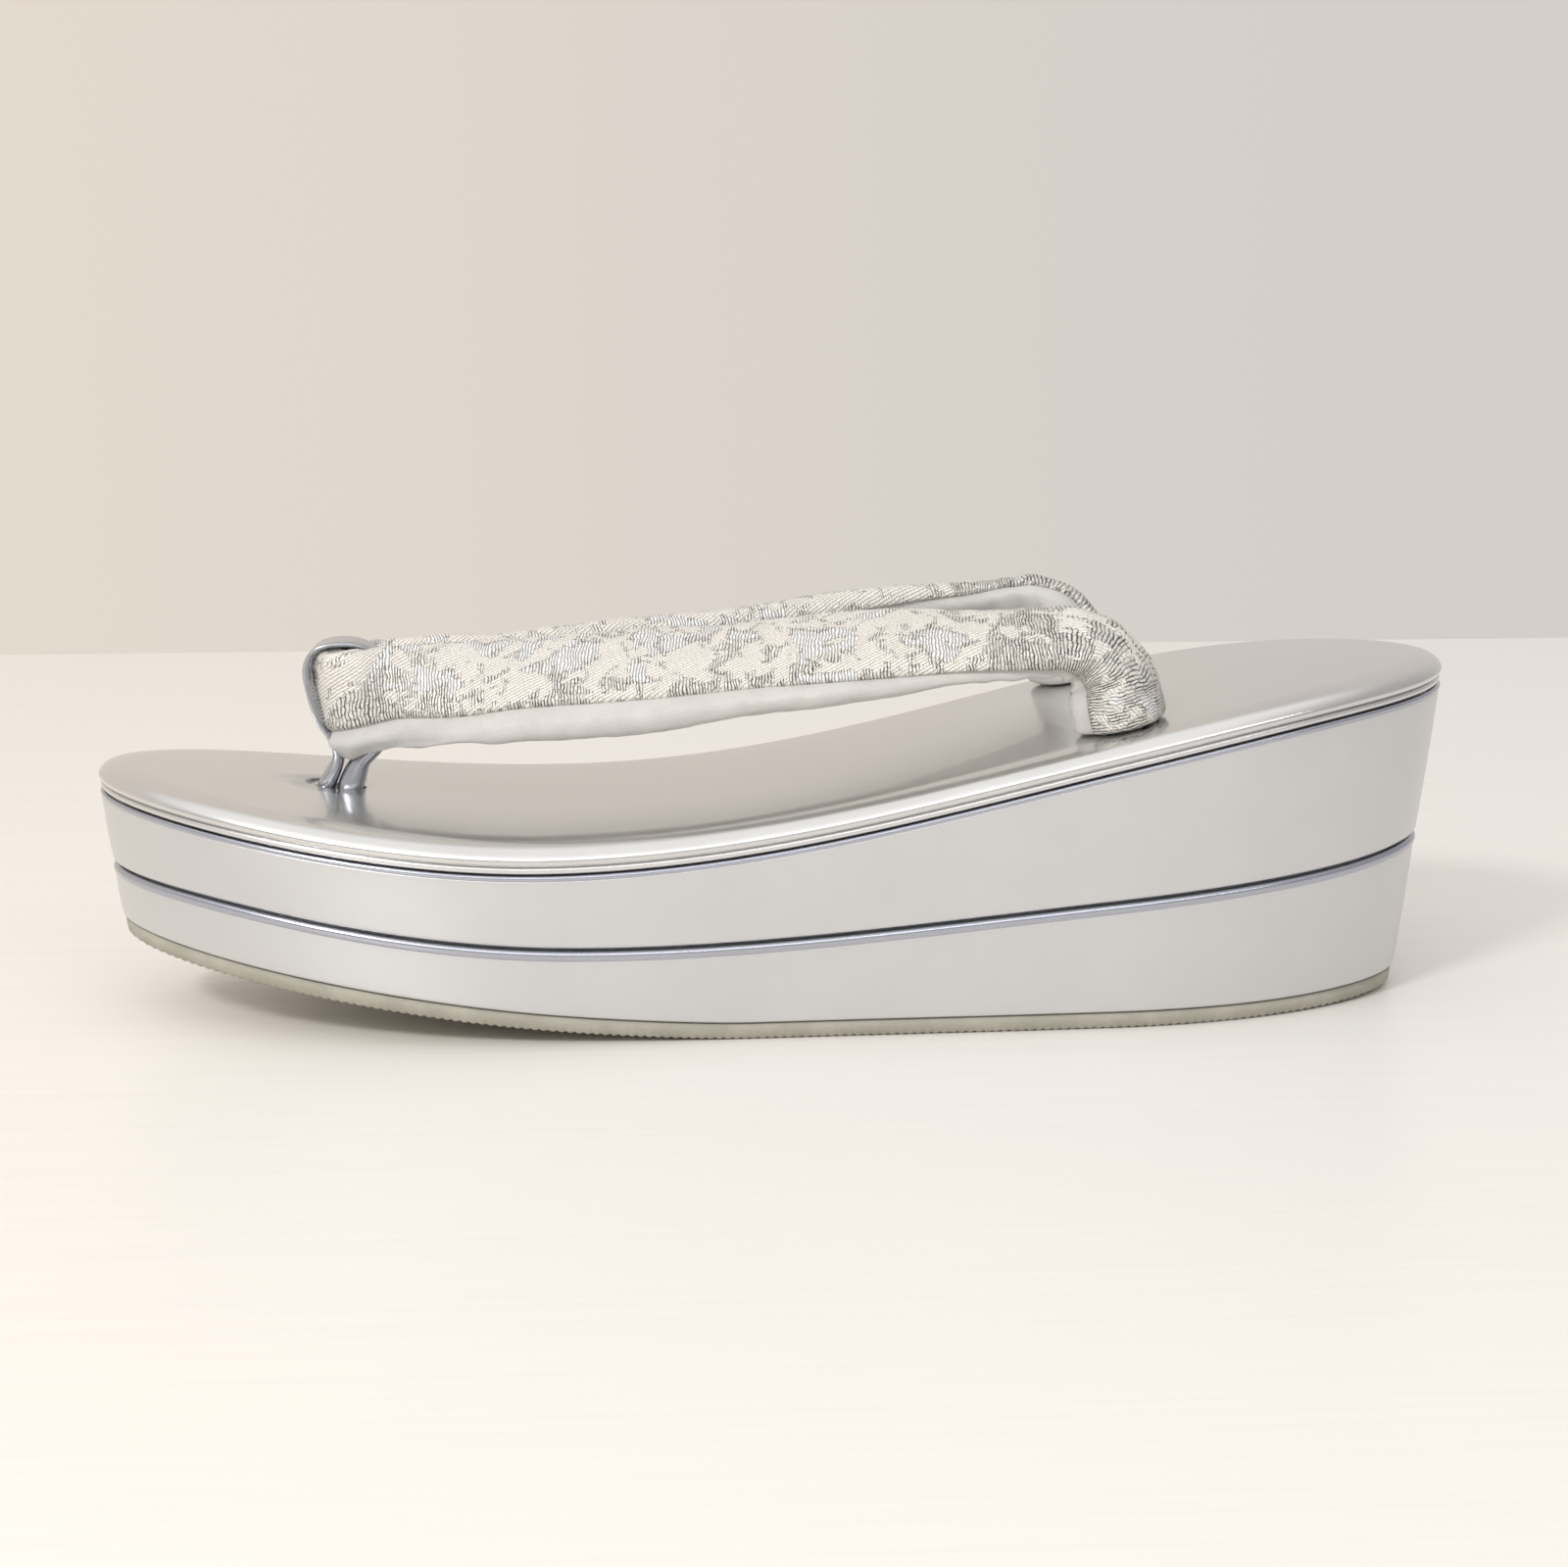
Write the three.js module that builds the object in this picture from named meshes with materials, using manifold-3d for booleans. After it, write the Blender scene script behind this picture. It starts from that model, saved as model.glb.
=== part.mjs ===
// Zori sandal for either foot, in millimetres.
// X runs from toe to heel, Y across, Z up; the middle of the length is x = 0 and the floor is z = 0.
// Places along the sandal are written as d, the distance behind the toe tip.

import * as THREE from 'three';
import { mergeVertices } from 'three/addons/utils/BufferGeometryUtils.js';
import Module from 'manifold-3d';

const wasm = await Module();
wasm.setup();

// Driving sizes
const LENGTH = 240;
const FIT = 0.3;

// Sole: how it stands on the floor
const TOE_SPRING = 15;
const HEEL_LIFT = 1.3;
const FLAT_FROM = 114;
const FLAT_TO = 198;

// Sole: outline and layers
const TOE_ROUND = 84;
const HEEL_ROUND = 62;
const SIDE_TAPER = 0.2;
const END_TAPER = 0.12;
const OUTSOLE_THICKNESS = 3;
const FOOTBED_THICKNESS = 5.4;
const PIPING_RADIUS = 0.75;
const STEP_DEPTH = 1.85;
const SPINE_FROM = 38;
const SPINE_TO = 204;

// Half width of the upper seam before the ends round in, height of the upper seam, of the lower seam
const PROFILE = [
  { d: 0, half: 39.2, seam: 40.8, tier: 27.8 },
  { d: 20, half: 39.2, seam: 37.4, tier: 25.2 },
  { d: 45, half: 39.2, seam: 33.6, tier: 21.3 },
  { d: 75, half: 39.2, seam: 31.2, tier: 18.1 },
  { d: 105, half: 38.8, seam: 32.6, tier: 17.8 },
  { d: 135, half: 38.8, seam: 37.5, tier: 19.7 },
  { d: 165, half: 39.4, seam: 44.4, tier: 22.6 },
  { d: 195, half: 39.4, seam: 51, tier: 25.3 },
  { d: 220, half: 39.4, seam: 54.9, tier: 27.5 },
  { d: 240, half: 39.4, seam: 56.8, tier: 29.8 },
];

// Hanao: centre line of one half, its width across, thickness and lean of the width from upright
const NOSE = { d: 43.4, z: 54, radius: 6.2, width: 19, thick: 6.8, lean: -13 };
const STRAP = [
  { d: 50, y: 6.2, z: 55.3, width: 18.8, thick: 6.8, lean: 4 },
  { d: 67, y: 9.8, z: 57.3, width: 21, thick: 7.4, lean: 40 },
  { d: 88, y: 13.6, z: 59.4, width: 22.4, thick: 8, lean: 50 },
  { d: 113, y: 17.8, z: 62.3, width: 22.6, thick: 7.8, lean: 60 },
  { d: 138, y: 22.3, z: 65.5, width: 21.2, thick: 7.8, lean: 63 },
  { d: 154, y: 25, z: 66.9, width: 18, thick: 6.8, lean: 66 },
  { d: 167.5, y: 26.6, z: 67.6, width: 15.6, thick: 7.8, lean: 64 },
];
const BEND_RADIUS = 9.5;
const BEND_DIP = 78;
const FOOT = { width: 15, thick: 14 };
const NECK_RADIUS = 4;
const NECK_CLEARANCE = 0.5;
const NECK_DEPTH = 4.6;

// Front thong: centre line in the middle plane, size across the sandal and thickness along it
const THONG = [
  { d: 39.6, z: 35.6, across: 4.4, thick: 3 },
  { d: 39.6, z: 38.6, across: 4.4, thick: 3 },
  { d: 40.3, z: 42, across: 5, thick: 2.8 },
  { d: 40.4, z: 45.5, across: 6.2, thick: 2.2 },
  { d: 39.5, z: 49.8, across: 7.6, thick: 1.8 },
  { d: 38.1, z: 54, across: 8.6, thick: 1.7 },
  { d: 37.3, z: 58, across: 9, thick: 1.7 },
  { d: 37.5, z: 61.8, across: 9, thick: 1.7 },
  { d: 39.4, z: 64.5, across: 9, thick: 1.7 },
  { d: 43, z: 65.4, across: 8.8, thick: 1.7 },
  { d: 46.8, z: 65, across: 8, thick: 1.7 },
  { d: 49.7, z: 63.2, across: 5.6, thick: 1.8 },
  { d: 51, z: 59.8, across: 4.4, thick: 2 },
  { d: 51.2, z: 52, across: 4.2, thick: 2.2 },
  { d: 50.3, z: 46.6, across: 4.6, thick: 2.4 },
  { d: 47.6, z: 43, across: 5.2, thick: 2.8 },
  { d: 45, z: 40.8, across: 5.6, thick: 4 },
  { d: 43.9, z: 38.4, across: 5.6, thick: 4.4 },
  { d: 43.9, z: 35.6, across: 5.6, thick: 4.4 },
];
const THONG_HOLE = { d: 42.1, along: 5.4, across: 3.9 };

// Fineness of the facets
const OUTLINE_POINTS = 64;
const STRAP_SIDES = 20;
const THONG_SIDES = 12;
const PIPING_SIDES = 8;
const CAP_SCALES = [0.4, 0.75];

const SILVER = { color: 0xc9ccd2, roughness: 0.34, metalness: 0.75 };
const PIPING_SILVER = { color: 0xdadde3, roughness: 0.26, metalness: 0.8 };
const SHADED_SILVER = { color: 0xb4b8c0, roughness: 0.36, metalness: 0.75 };
const RUBBER = { color: 0xa9a89a, roughness: 0.85, metalness: 0 };
const BROCADE = { color: 0xe9e5dc, roughness: 0.6, metalness: 0.1 };

const clamp = THREE.MathUtils.clamp;
const radians = THREE.MathUtils.degToRad;

// Smooth curve through the rows of a table, read at one value of the key column
function readTable(rows, key, column, at) {
  const last = rows.length - 1;
  let i = 0;
  while (i < last - 1 && at > rows[i + 1][key]) i += 1;
  const slope = (k) => {
    const a = rows[Math.max(k - 1, 0)];
    const b = rows[Math.min(k + 1, last)];
    return (b[column] - a[column]) / (b[key] - a[key]);
  };
  const span = rows[i + 1][key] - rows[i][key];
  const t = clamp((at - rows[i][key]) / span, 0, 1);
  const rise = rows[i + 1][column] - rows[i][column];
  const bendIn = slope(i) * span - rise;
  const bendOut = rise - slope(i + 1) * span;
  const straight = rows[i][column] + rise * t;
  return straight + t * (1 - t) * (bendIn * (1 - t) + bendOut * t);
}

const seamHeight = (d) => readTable(PROFILE, 'd', 'seam', d);
const tierHeight = (d) => readTable(PROFILE, 'd', 'tier', d);

// Height of the sole's underside: toe spring, flat tread, small lift at the heel
function groundHeight(d) {
  const toe = clamp((FLAT_FROM - d) / FLAT_FROM, 0, 1);
  const heel = clamp((d - FLAT_TO) / (LENGTH - FLAT_TO), 0, 1);
  return TOE_SPRING * toe ** 1.5 + HEEL_LIFT * heel ** 2;
}

const roundEnd = (t) => Math.sqrt(1 - (1 - clamp(t, 0, 1)) ** 2);

// Half width of the sandal at the upper seam
function halfWidth(d) {
  const ends = roundEnd(d / TOE_ROUND) * roundEnd((LENGTH - d) / HEEL_ROUND);
  return readTable(PROFILE, 'd', 'half', d) * ends;
}

// Point of the outline at an angle that starts at the toe and runs along the near side first
function outlinePoint(angle) {
  const d = (LENGTH / 2) * (1 - Math.cos(angle));
  const side = Math.sin(angle) < 0 ? 1 : -1;
  return new THREE.Vector2(d, side * halfWidth(d));
}

function outlineNormal(angle) {
  const small = 0.01;
  const ahead = outlinePoint(angle + small).sub(outlinePoint(angle - small));
  return new THREE.Vector2(ahead.y, -ahead.x).normalize();
}

// One ring of the sole: the outline at a height, moved in by the taper and an extra inset,
// then drawn towards the spine line by a scale
function soleRing(heightAt, inset = 0, scale = 1) {
  const ring = [];
  for (let i = 0; i < OUTLINE_POINTS; i += 1) {
    const angle = (2 * Math.PI * i) / OUTLINE_POINTS;
    const edge = outlinePoint(angle);
    const normal = outlineNormal(angle);
    const taper = SIDE_TAPER + (END_TAPER - SIDE_TAPER) * normal.x ** 2;
    const drop = seamHeight(edge.x) - heightAt(edge.x);
    edge.addScaledVector(normal, -(taper * Math.max(drop, 0) + inset));
    const spine = clamp(edge.x, SPINE_FROM, SPINE_TO);
    const d = spine + (edge.x - spine) * scale;
    ring.push(new THREE.Vector3(d - LENGTH / 2, edge.y * scale, heightAt(d)));
  }
  return ring;
}

// Closed mesh from a list of rings of equal length; triangles that shrink to nothing are left out
function skin(rings, closeEnds = false) {
  const sides = rings[0].length;
  const points = rings.flat();
  const faces = [];
  for (let r = 0; r + 1 < rings.length; r += 1) {
    for (let i = 0; i < sides; i += 1) {
      const a = r * sides + i;
      const b = r * sides + ((i + 1) % sides);
      faces.push([a, b, b + sides], [a, b + sides, a + sides]);
    }
  }
  if (closeEnds) {
    const last = (rings.length - 1) * sides;
    for (let i = 1; i + 1 < sides; i += 1) {
      faces.push([0, i + 1, i], [last, last + i, last + i + 1]);
    }
  }
  const raw = new THREE.BufferGeometry();
  raw.setAttribute('position', new THREE.Float32BufferAttribute(points.flatMap((p) => p.toArray()), 3));
  raw.setIndex(faces.flat());
  const welded = mergeVertices(raw, 1e-3);
  const kept = [];
  for (let i = 0; i < welded.index.count; i += 3) {
    const [a, b, c] = [0, 1, 2].map((k) => welded.index.getX(i + k));
    if (a !== b && b !== c && c !== a) kept.push(a, b, c);
  }
  welded.setIndex(kept);
  return welded;
}

function toManifold(geometry) {
  return new wasm.Manifold(new wasm.Mesh({
    numProp: 3,
    vertProperties: new Float32Array(geometry.attributes.position.array),
    triVerts: new Uint32Array(geometry.index.array),
  }));
}

function fromManifold(solid) {
  const mesh = solid.getMesh();
  const geometry = new THREE.BufferGeometry();
  geometry.setAttribute('position', new THREE.BufferAttribute(mesh.vertProperties, 3));
  geometry.setIndex(new THREE.BufferAttribute(mesh.triVerts, 1));
  return geometry;
}

// Layer of the sole: wall rings from bottom to top, with both faces closed at the spine
function soleLayer(bottomAt, bottomInset, wall, topAt, topInset) {
  const below = [0, ...CAP_SCALES].map((scale) => soleRing(bottomAt, bottomInset, scale));
  const above = [1, ...[...CAP_SCALES].reverse(), 0].map((scale) => soleRing(topAt, topInset, scale));
  const walls = wall.map(({ heightAt, inset }) => soleRing(heightAt, inset));
  return skin([...below, soleRing(bottomAt, bottomInset), ...walls, ...above]);
}

const raised = (heightAt, by) => (d) => heightAt(d) + by;
const half = FIT / 2;

function outsole() {
  const top = raised(groundHeight, OUTSOLE_THICKNESS - half);
  const wall = [{ heightAt: raised(groundHeight, 0.5), inset: 0.4 }];
  return soleLayer(groundHeight, 0.9, wall, top, 0.4);
}

// Wrapped wedge: straight tapering wall, then a step that holds the piping
function tier(bottomAt, topAt) {
  const shoulder = raised(topAt, -STEP_DEPTH - half);
  const wall = [
    { heightAt: raised(bottomAt, half + 0.6), inset: 0 },
    { heightAt: raised(shoulder, -0.5), inset: 0 },
    { heightAt: shoulder, inset: 0.5 },
    { heightAt: shoulder, inset: STEP_DEPTH },
  ];
  return soleLayer(raised(bottomAt, half), 0.4, wall, raised(topAt, -half), STEP_DEPTH);
}

// Rolled bead along the step of a tier
function piping(topAt) {
  const centreDrop = FIT + PIPING_RADIUS;
  const centreInset = STEP_DEPTH - FIT - PIPING_RADIUS;
  const rings = [];
  for (let k = 0; k <= PIPING_SIDES; k += 1) {
    const turn = (2 * Math.PI * k) / PIPING_SIDES;
    const rise = -centreDrop + PIPING_RADIUS * Math.sin(turn);
    rings.push(soleRing(raised(topAt, rise), centreInset - PIPING_RADIUS * Math.cos(turn)));
  }
  return skin(rings);
}

function footbed(cuts) {
  const lift = (by) => raised(seamHeight, by);
  const wall = [
    { heightAt: lift(0.9), inset: 0.15 },
    { heightAt: lift(2.2), inset: -0.25 },
    { heightAt: lift(3.3), inset: 0.2 },
    { heightAt: lift(4.4), inset: 1.5 },
    { heightAt: lift(5.1), inset: 3.6 },
  ];
  const body = soleLayer(lift(half), 0.9, wall, lift(FOOTBED_THICKNESS), 6.4);
  const pierced = cuts.reduce((solid, cut) => solid.subtract(toManifold(cut)), toManifold(body));
  return fromManifold(pierced);
}

// Section of a soft tube: a rounded pillow shape with its width along one axis
function tubeSection(centre, widthAxis, thickAxis, width, thick, sides, power) {
  const ring = [];
  for (let i = 0; i < sides; i += 1) {
    const turn = (2 * Math.PI * i) / sides;
    const u = Math.sign(Math.cos(turn)) * Math.abs(Math.cos(turn)) ** (2 / power);
    const v = Math.sign(Math.sin(turn)) * Math.abs(Math.sin(turn)) ** (2 / power);
    const point = centre.clone();
    point.addScaledVector(widthAxis, (u * width) / 2);
    point.addScaledVector(thickAxis, (v * thick) / 2);
    ring.push(point);
  }
  return ring;
}

// Rows of the strap's centre line on the far side, from the fold at the nose to the end of its neck
function strapRows() {
  const rows = [];
  const quarter = 5;
  for (let i = 0; i < quarter; i += 1) {
    const turn = (Math.PI / 2) * (i / quarter);
    const t = i / quarter;
    const first = STRAP[0];
    const mix = (column) => THREE.MathUtils.lerp(NOSE[column], first[column], t * t);
    rows.push({
      d: NOSE.d + NOSE.radius * (1 - Math.cos(turn)), y: NOSE.radius * Math.sin(turn), z: mix('z'),
      width: mix('width'), thick: mix('thick'), lean: mix('lean'), heading: 90 - (90 * i) / quarter, dip: 0,
    });
  }
  const end = STRAP[STRAP.length - 1];
  const steps = 20;
  for (let i = 0; i <= steps; i += 1) {
    const d = STRAP[0].d + ((end.d - STRAP[0].d) * i) / steps;
    const at = (column) => readTable(STRAP, 'd', column, d);
    const slope = (column) => readTable(STRAP, 'd', column, d + 0.5) - readTable(STRAP, 'd', column, d - 0.5);
    rows.push({
      d, y: at('y'), z: at('z'), width: at('width'), thick: at('thick'), lean: at('lean'),
      heading: i === 0 ? 6 : THREE.MathUtils.radToDeg(Math.atan(slope('y'))),
      dip: i === steps ? 0 : THREE.MathUtils.radToDeg(-Math.atan(slope('z'))),
    });
  }
  const bends = 7;
  for (let i = 1; i <= bends; i += 1) {
    const dip = (BEND_DIP * i) / bends;
    const along = BEND_RADIUS * Math.sin(radians(dip));
    const mix = (a, b) => THREE.MathUtils.lerp(a, b, i / bends);
    rows.push({
      d: end.d + along, y: end.y + mix(0, 0.6), z: end.z - BEND_RADIUS * (1 - Math.cos(radians(dip))),
      width: mix(end.width, FOOT.width), thick: mix(end.thick, FOOT.thick), lean: end.lean, heading: 0, dip,
    });
  }
  return [...rows, ...footRows(rows[rows.length - 1])];
}

// Foot of the strap: straight down on to the footbed, then a neck that goes into the side hole
function footRows(bendEnd) {
  const dx = Math.cos(radians(BEND_DIP));
  const dz = -Math.sin(radians(BEND_DIP));
  let reach = 0;
  const gapAt = (s) => bendEnd.z + dz * s - seamHeight(bendEnd.d + dx * s) - FOOTBED_THICKNESS;
  while (gapAt(reach) > 0) reach += 0.01;
  const row = (above, width, thick) => ({
    ...bendEnd, d: bendEnd.d + dx * (reach - above), z: bendEnd.z + dz * (reach - above), width, thick,
  });
  const neck = 2 * NECK_RADIUS;
  return [
    row(2.4, FOOT.width, FOOT.thick),
    row(1.2, FOOT.width - 0.6, FOOT.thick - 0.6),
    row(0.6, FOOT.width - 2.4, FOOT.thick - 2.4),
    row(0.55, neck, neck),
    row(-NECK_DEPTH, neck, neck),
  ];
}

function strapFrame(row) {
  const heading = radians(row.heading);
  const dip = radians(row.dip);
  const lean = radians(row.lean);
  const upright = new THREE.Vector3(
    Math.cos(heading) * Math.sin(dip), Math.sin(heading) * Math.sin(dip), Math.cos(dip));
  const inward = new THREE.Vector3(Math.sin(heading), -Math.cos(heading), 0);
  const widthAxis = upright.clone().multiplyScalar(Math.cos(lean)).addScaledVector(inward, Math.sin(lean));
  const thickAxis = upright.clone().multiplyScalar(Math.sin(lean)).addScaledVector(inward, -Math.cos(lean));
  return { centre: new THREE.Vector3(row.d - LENGTH / 2, row.y, row.z), widthAxis, thickAxis };
}

// The whole V strap: far half and its mirror image, one tube through the fold
function hanao() {
  const far = strapRows().map((row) => {
    const { centre, widthAxis, thickAxis } = strapFrame(row);
    return tubeSection(centre, widthAxis, thickAxis, row.width, row.thick, STRAP_SIDES, 2.3);
  });
  const mirror = new THREE.Vector3(1, -1, 1);
  const near = far.slice(1).map((ring) => ring.map((point) => point.clone().multiply(mirror)));
  return skin([...far.reverse(), ...near], true);
}

function thong() {
  const curve = (column) => {
    const spline = new THREE.SplineCurve(THONG.map((row, i) => new THREE.Vector2(i, row[column])));
    return (t) => spline.getPoint(t).y;
  };
  const read = { d: curve('d'), z: curve('z'), across: curve('across'), thick: curve('thick') };
  const steps = 2 * (THONG.length - 1);
  const across = new THREE.Vector3(0, 1, 0);
  const rings = [];
  for (let i = 0; i <= steps; i += 1) {
    const t = i / steps;
    const centre = new THREE.Vector3(read.d(t) - LENGTH / 2, 0, read.z(t));
    const small = 1e-3;
    const from = Math.max(t - small, 0);
    const to = Math.min(t + small, 1);
    const outward = new THREE.Vector3(read.z(from) - read.z(to), 0, read.d(to) - read.d(from)).normalize();
    rings.push(tubeSection(centre, across, outward, read.across(t), read.thick(t), THONG_SIDES, 2.6));
  }
  return skin(rings, true);
}

// Cutter for a hole through the footbed, an upright or tilted column of oval section
function column(bottom, top, along, across, sides) {
  const axis = top.clone().sub(bottom).normalize();
  const crossAxis = new THREE.Vector3(0, 1, 0);
  const alongAxis = crossAxis.clone().cross(axis);
  const ringAt = (centre) => tubeSection(centre, alongAxis, crossAxis, 2 * along, 2 * across, sides, 2);
  return skin([ringAt(bottom), ringAt(top)], true);
}

function footbedCuts() {
  const x = THONG_HOLE.d - LENGTH / 2;
  const front = column(new THREE.Vector3(x, 0, 25), new THREE.Vector3(x, 0, 50),
    THONG_HOLE.along, THONG_HOLE.across, 24);
  const rows = strapRows();
  const top = strapFrame(rows[rows.length - 2]).centre;
  const end = strapFrame(rows[rows.length - 1]).centre;
  const axis = end.clone().sub(top);
  const bore = NECK_RADIUS + NECK_CLEARANCE;
  const sides = [1, -1].map((side) => {
    const place = (share) => top.clone().addScaledVector(axis, share).multiply(new THREE.Vector3(1, side, 1));
    return column(place(3), place(-2), bore, bore, 20);
  });
  return [front, ...sides];
}

const sandal = new THREE.Group();

function addPart(name, geometry, finish) {
  geometry.computeVertexNormals();
  const mesh = new THREE.Mesh(geometry, new THREE.MeshStandardMaterial(finish));
  mesh.name = name;
  sandal.add(mesh);
}

addPart('outsole', outsole(), RUBBER);
addPart('lower_tier', tier(raised(groundHeight, OUTSOLE_THICKNESS), tierHeight), SILVER);
addPart('lower_piping', piping(tierHeight), PIPING_SILVER);
addPart('upper_tier', tier(tierHeight, seamHeight), SILVER);
addPart('upper_piping', piping(seamHeight), PIPING_SILVER);
addPart('footbed', footbed(footbedCuts()), SILVER);
addPart('hanao', hanao(), BROCADE);
addPart('front_thong', thong(), SHADED_SILVER);

export default sandal;
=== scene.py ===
# Zori sandal for either foot: the looks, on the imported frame, in metres.
# Shape tables are in millimetres; d is the distance behind the toe tip, as in the part's source.
import math
from bisect import bisect

import bmesh
import bpy
import numpy as np
from mathutils import Matrix, Vector, noise


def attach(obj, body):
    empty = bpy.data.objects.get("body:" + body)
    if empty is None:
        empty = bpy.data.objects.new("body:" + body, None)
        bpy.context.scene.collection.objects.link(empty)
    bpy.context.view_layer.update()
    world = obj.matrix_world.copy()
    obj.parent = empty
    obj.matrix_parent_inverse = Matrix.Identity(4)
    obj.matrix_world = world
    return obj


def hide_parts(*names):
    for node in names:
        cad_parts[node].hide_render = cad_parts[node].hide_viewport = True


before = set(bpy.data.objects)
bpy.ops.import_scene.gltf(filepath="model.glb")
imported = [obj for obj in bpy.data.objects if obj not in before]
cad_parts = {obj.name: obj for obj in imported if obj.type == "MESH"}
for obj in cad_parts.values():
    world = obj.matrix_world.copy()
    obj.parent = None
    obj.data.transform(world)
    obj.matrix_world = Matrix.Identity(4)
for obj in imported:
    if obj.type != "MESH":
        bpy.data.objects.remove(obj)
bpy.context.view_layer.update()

MM = 0.001
scene = bpy.context.scene

# Camera, fitted to the sole's seams in the photograph
IMAGE_WIDTH = 1600
FOCAL_PIXELS = 2829.9
CAMERA_PLACE = Vector((-21.8, -491.0, 134.64)) * MM
CAMERA_PITCH = 0.193
CAMERA_YAW = 0.0479
CAMERA_ROLL = -0.0076
SENSOR_WIDTH = 36


def add_camera():
    lens = bpy.data.cameras.new("camera")
    lens.sensor_width = SENSOR_WIDTH
    lens.lens = SENSOR_WIDTH * FOCAL_PIXELS / IMAGE_WIDTH
    camera = bpy.data.objects.new("camera", lens)
    ahead = Vector((
        math.sin(CAMERA_YAW) * math.cos(CAMERA_PITCH),
        math.cos(CAMERA_YAW) * math.cos(CAMERA_PITCH),
        -math.sin(CAMERA_PITCH),
    ))
    across = Vector((math.cos(CAMERA_YAW), -math.sin(CAMERA_YAW), 0))
    above = across.cross(ahead)
    right = math.cos(CAMERA_ROLL) * across + math.sin(CAMERA_ROLL) * above
    up = math.cos(CAMERA_ROLL) * above - math.sin(CAMERA_ROLL) * across
    turned = Matrix((right, up, -ahead)).transposed().to_4x4()
    camera.matrix_world = Matrix.Translation(CAMERA_PLACE) @ turned
    scene.collection.objects.link(camera)
    scene.camera = camera


add_camera()


# Driving sizes, the same as in the part's source
LENGTH = 240
TOE_SPRING = 15
HEEL_LIFT = 1.3
FLAT_FROM = 114
FLAT_TO = 198
TOE_ROUND = 84
HEEL_ROUND = 62
SIDE_TAPER = 0.2
END_TAPER = 0.12
OUTSOLE_THICKNESS = 3
FOOTBED_THICKNESS = 5.4
STEP_DEPTH = 1.85
HALF_GAP = 0.15
# Line that the caps of the sole's layers shrink to
SPINE_FROM = 38
SPINE_TO = 204

# Distance behind the toe, half width of the upper seam before the ends round in, height of the upper seam,
# height of the lower seam
PROFILE = np.array([
    (0, 39.2, 40.8, 27.8),
    (20, 39.2, 37.4, 25.2),
    (45, 39.2, 33.6, 21.3),
    (75, 39.2, 31.2, 18.1),
    (105, 38.8, 32.6, 17.8),
    (135, 38.8, 37.5, 19.7),
    (165, 39.4, 44.4, 22.6),
    (195, 39.4, 51, 25.3),
    (220, 39.4, 54.9, 27.5),
    (240, 39.4, 56.8, 29.8),
])

# Strap: distance, side, height, width, thickness, lean of the width from upright
NOSE = (42.9, 0, 54.5, 20, 6.8, -11)
NOSE_RADIUS = 6.2
STRAP = np.array([
    (50, 6.2, 55.3, 18.8, 6.8, 4),
    (67, 9.8, 57.3, 21, 7.4, 40),
    (88, 13.6, 59.4, 22.4, 8, 50),
    (113, 17.8, 62.3, 22.6, 7.8, 60),
    (138, 22.3, 65.5, 21.2, 7.8, 63),
    (154, 25, 66.9, 18, 6.8, 66),
    (167.5, 26.6, 67.6, 15.6, 7.8, 64),
])
BEND_RADIUS = 9.5
BEND_DIP = 78
FOOT_WIDTH = 15
FOOT_THICK = 14
NECK = 8

# Turn of the seam between brocade and velvet round the strap's section, in degrees, by distance
SEAM_TURN = np.array([
    (30, 101), (45, 101), (53, 104.5), (67, 121.5), (88, 125),
    (113, 137), (138, 156), (161, 184), (172, 198), (182, 207),
])

# Front thong: distance, height, size across the sandal, thickness, bow of its edges away from the strap
THONG = np.array([
    (39.4, 35.6, 4.6, 3.2, 0),
    (39.5, 38.6, 4.6, 3.2, 0),
    (40.5, 41.3, 4.8, 3, 0),
    (41.9, 44.2, 5.2, 2.4, 0),
    (42, 46.6, 5.8, 1.9, 0.3),
    (41.2, 49.2, 6.8, 1.6, 0.9),
    (40, 52, 8, 1.4, 1.5),
    (39.1, 55.5, 8.8, 1.3, 1.9),
    (38.4, 58.8, 9, 1.3, 1.9),
    (38, 61.6, 9.2, 1.4, 1.4),
    (39.2, 64.3, 9.4, 1.4, 0.7),
    (42.4, 65.4, 9.4, 1.4, 0.3),
    (46.4, 65.1, 8.4, 1.5, 0.2),
    (49.5, 63.2, 6.2, 1.6, 0),
    (51.2, 59.6, 4.8, 1.8, 0),
    (51.4, 54, 4.4, 2.2, 0),
    (50.6, 49.4, 4.6, 2.4, 0),
    (48.6, 46.4, 5, 2.8, 0),
    (46.3, 44.4, 5.4, 3.4, 0),
    (45.1, 42.2, 5.6, 4.2, 0),
    (44.3, 40.2, 5.8, 4.6, 0),
    (43.9, 38.4, 5.8, 4.6, 0),
    (43.9, 35.6, 5.8, 4.6, 0),
])
# Middle of the front hole behind the toe, its half length and half width at the surface
THONG_HOLE = (42.1, 5.4, 3.9)


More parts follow.
